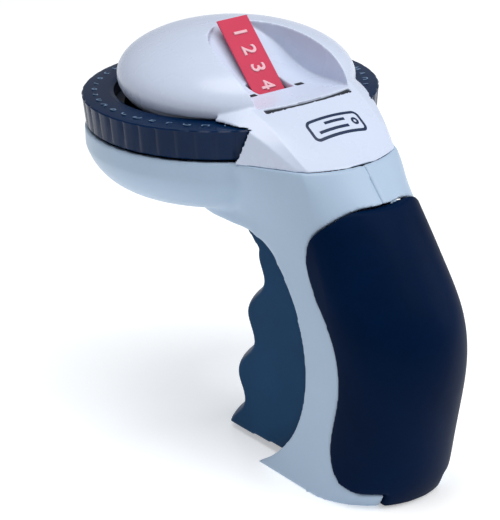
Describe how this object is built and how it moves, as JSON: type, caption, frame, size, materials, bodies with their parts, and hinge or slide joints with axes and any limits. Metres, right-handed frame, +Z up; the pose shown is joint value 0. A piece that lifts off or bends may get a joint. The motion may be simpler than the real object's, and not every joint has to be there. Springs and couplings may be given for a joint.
{
  "type": "embossing label maker",
  "caption": "Hand-held embossing label maker with a squeeze trigger, a turning character wheel over a round head, and a tape roll inside a removable rear door.",
  "frame": {"origin": "middle of the flat foot of the handle, on the surface that it stands on", "axes": "+Z up, -Y towards the front of the head, +X towards the user's left"},
  "size_m": [0.076, 0.1215, 0.1056],
  "materials": {
    "white_plastic": "satin moulded",
    "navy_gloss": "glossy moulded",
    "navy_soft": "fine texture",
    "trigger_blue": "satin moulded",
    "steel": "brushed",
    "spring_steel": "drawn wire",
    "inner_plastic": "moulded",
    "acetal": "moulded",
    "rubber": "soft",
    "tape_red": "glossy vinyl"
  },
  "bodies": {
    "housing": {"case_screws": "steel", "chassis_frame": "steel", "cutter_holder": "acetal", "left_shell": "white_plastic", "pawl_pin": "steel", "pinch_roller_pin": "steel", "plunger_return_spring": "spring_steel", "right_shell": "white_plastic", "spool_pin": "acetal", "tape_guide": "acetal", "tape_strip": "tape_red", "top_cover": "white_plastic", "trigger_pivot_pin": "steel", "trigger_return_spring": "spring_steel", "wheel_hub": "acetal"},
    "wheel": {"character_wheel": "navy_gloss", "upper_die_ring": "inner_plastic", "lower_die_ring": "inner_plastic"},
    "trigger_body": {"trigger": "trigger_blue"},
    "punch": {"punch_plunger": "steel"},
    "feed": {"feed_roller": "rubber", "feed_shaft": "steel", "ratchet_wheel": "acetal"},
    "pinch": {"pinch_roller": "acetal"},
    "pawl": {"feed_pawl": "steel"},
    "spool": {"tape_spool": "acetal", "tape_roll": "tape_red"},
    "door": {"rear_door": "navy_soft"},
    "cutter": {"cutter_blade": "steel"}
  },
  "joints": [
    {"name": "wheel_spin", "type": "hinge", "parent": "housing", "child": "wheel", "pos_m": [0, -0.057, 0.0873], "axis": [0, -0.0471, 0.9989], "continuous": true},
    {"name": "trigger_squeeze", "type": "hinge", "parent": "housing", "child": "trigger_body", "pos_m": [0, -0.036, 0.067], "axis": [1, 0, 0], "range_deg": [0, 10], "stiffness_Nm_per_rad": 1.2, "springref_deg": -5.73},
    {"name": "punch_lift", "type": "slide", "parent": "housing", "child": "punch", "axis": [0, 0, 1], "range_m": [0, 0.0022], "deforming": ["plunger_return_spring"]},
    {"name": "feed_spin", "type": "hinge", "parent": "housing", "child": "feed", "pos_m": [0, -0.0359, 0.0803], "axis": [1, 0, 0], "continuous": true},
    {"name": "pinch_spin", "type": "hinge", "parent": "housing", "child": "pinch", "pos_m": [0, -0.0316, 0.0846], "axis": [1, 0, 0], "continuous": true},
    {"name": "pawl_swing", "type": "hinge", "parent": "housing", "child": "pawl", "pos_m": [0, -0.035, 0.0753], "axis": [1, 0, 0], "range_deg": [0, 12], "stiffness_Nm_per_rad": 0.005},
    {"name": "cutter_stroke", "type": "slide", "parent": "housing", "child": "cutter", "axis": [0, 0, 1], "range_m": [0, 0.0018], "stiffness_N_per_m": 200},
    {"name": "spool_spin", "type": "hinge", "parent": "housing", "child": "spool", "pos_m": [0, 0.005, 0.038], "axis": [1, 0, 0], "continuous": true},
    {"name": "door_pull", "type": "slide", "parent": "housing", "child": "door", "axis": [0, 1, 0], "range_m": [0, 0.03]}
  ],
  "couplings": [
    {"joint": "punch_lift", "follows": "trigger_squeeze", "m_per_rad": 0.012},
    {"joint": "pinch_spin", "follows": "feed_spin", "ratio": -1.4545}
  ]
}
